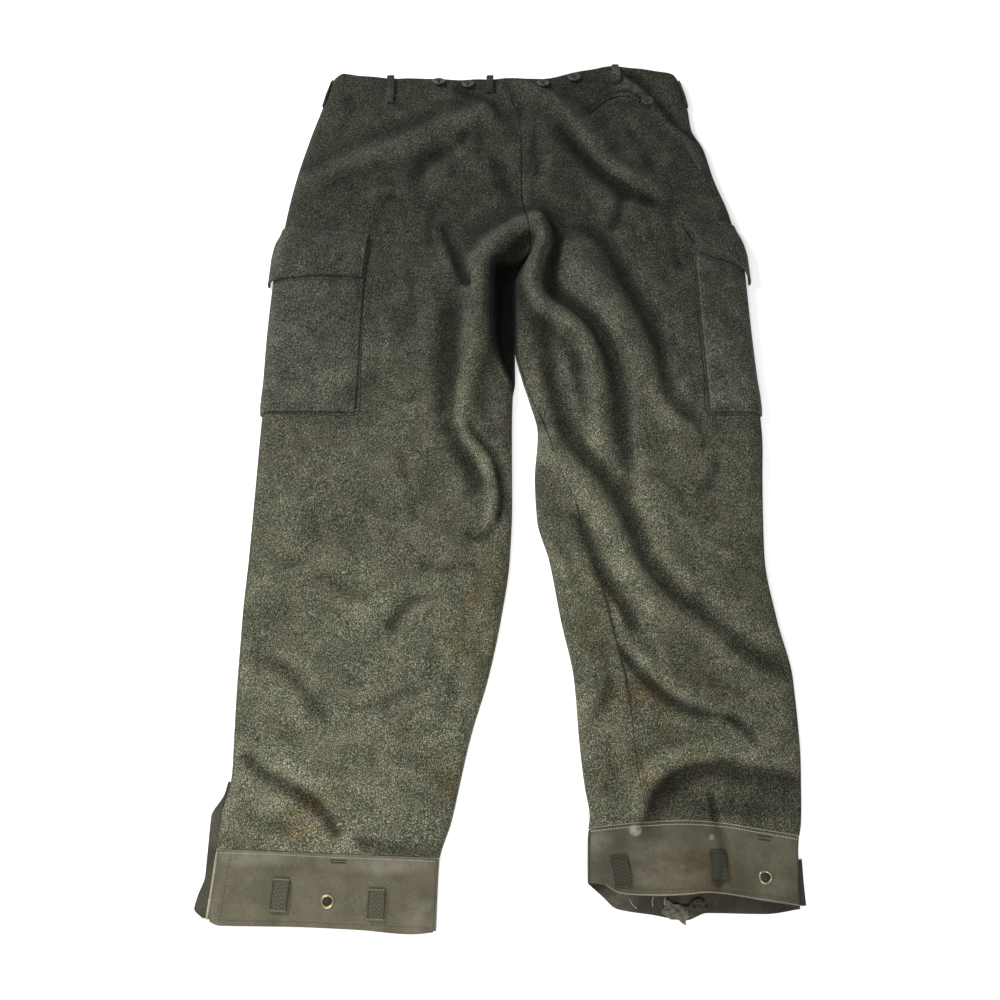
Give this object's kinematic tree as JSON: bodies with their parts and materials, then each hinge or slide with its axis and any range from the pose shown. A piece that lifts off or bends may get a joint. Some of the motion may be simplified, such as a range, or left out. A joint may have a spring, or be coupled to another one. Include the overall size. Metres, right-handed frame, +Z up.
{
  "type": "cargo trousers laid flat, back up",
  "caption": "Heavy wool cargo trousers with flapped thigh pockets, brace buttons, belt loops and canvas ankle cuffs, laid flat face down.",
  "frame": {"origin": "bottom centre of the laid garment's bounding box, on the surface it lies on", "axes": "+Y along the legs towards the waist, +X towards the wearer's right leg, +Z up out of the surface, towards the garment's back"},
  "size_m": [0.6285, 1.0671, 0.0457],
  "materials": {
    "wool": "milled grey-green melange wool, napped and matt",
    "cuff_canvas": "olive cotton canvas, faded",
    "gusset_canvas": "dark olive thin canvas",
    "tape": "herringbone cotton tape",
    "button_horn": "grey-brown dish button, slightly glossy",
    "eyelet_brass": "tarnished brass"
  },
  "bodies": {
    "root": {"back_left": "wool", "front_left": "wool", "back_right": "wool", "front_right": "wool", "cuff_back_left": "cuff_canvas", "cuff_front_left": "cuff_canvas", "cuff_back_right": "cuff_canvas", "cuff_front_right": "cuff_canvas", "cuff_gusset_left": "gusset_canvas", "cuff_gusset_right": "gusset_canvas", "cargo_pocket_left": "wool", "cargo_flap_left": "wool", "cargo_pocket_right": "wool", "cargo_flap_right": "wool", "belt_loop_back_left": "wool", "belt_loop_centre_back": "wool", "belt_loop_back_right": "wool", "belt_loop_side_left": "wool", "belt_loop_side_right": "wool", "tape_loop_left_1": "tape", "tape_loop_left_2": "tape", "tape_loop_right_1": "tape", "tape_loop_right_2": "tape", "hip_pocket_welt": "wool", "fly_underlap": "wool", "brace_button_1": "button_horn", "brace_button_2": "button_horn", "brace_button_3": "button_horn", "brace_button_4": "button_horn", "hip_pocket_button": "button_horn", "eyelet_left": "eyelet_brass", "eyelet_right": "eyelet_brass"}
  },
  "joints": []
}
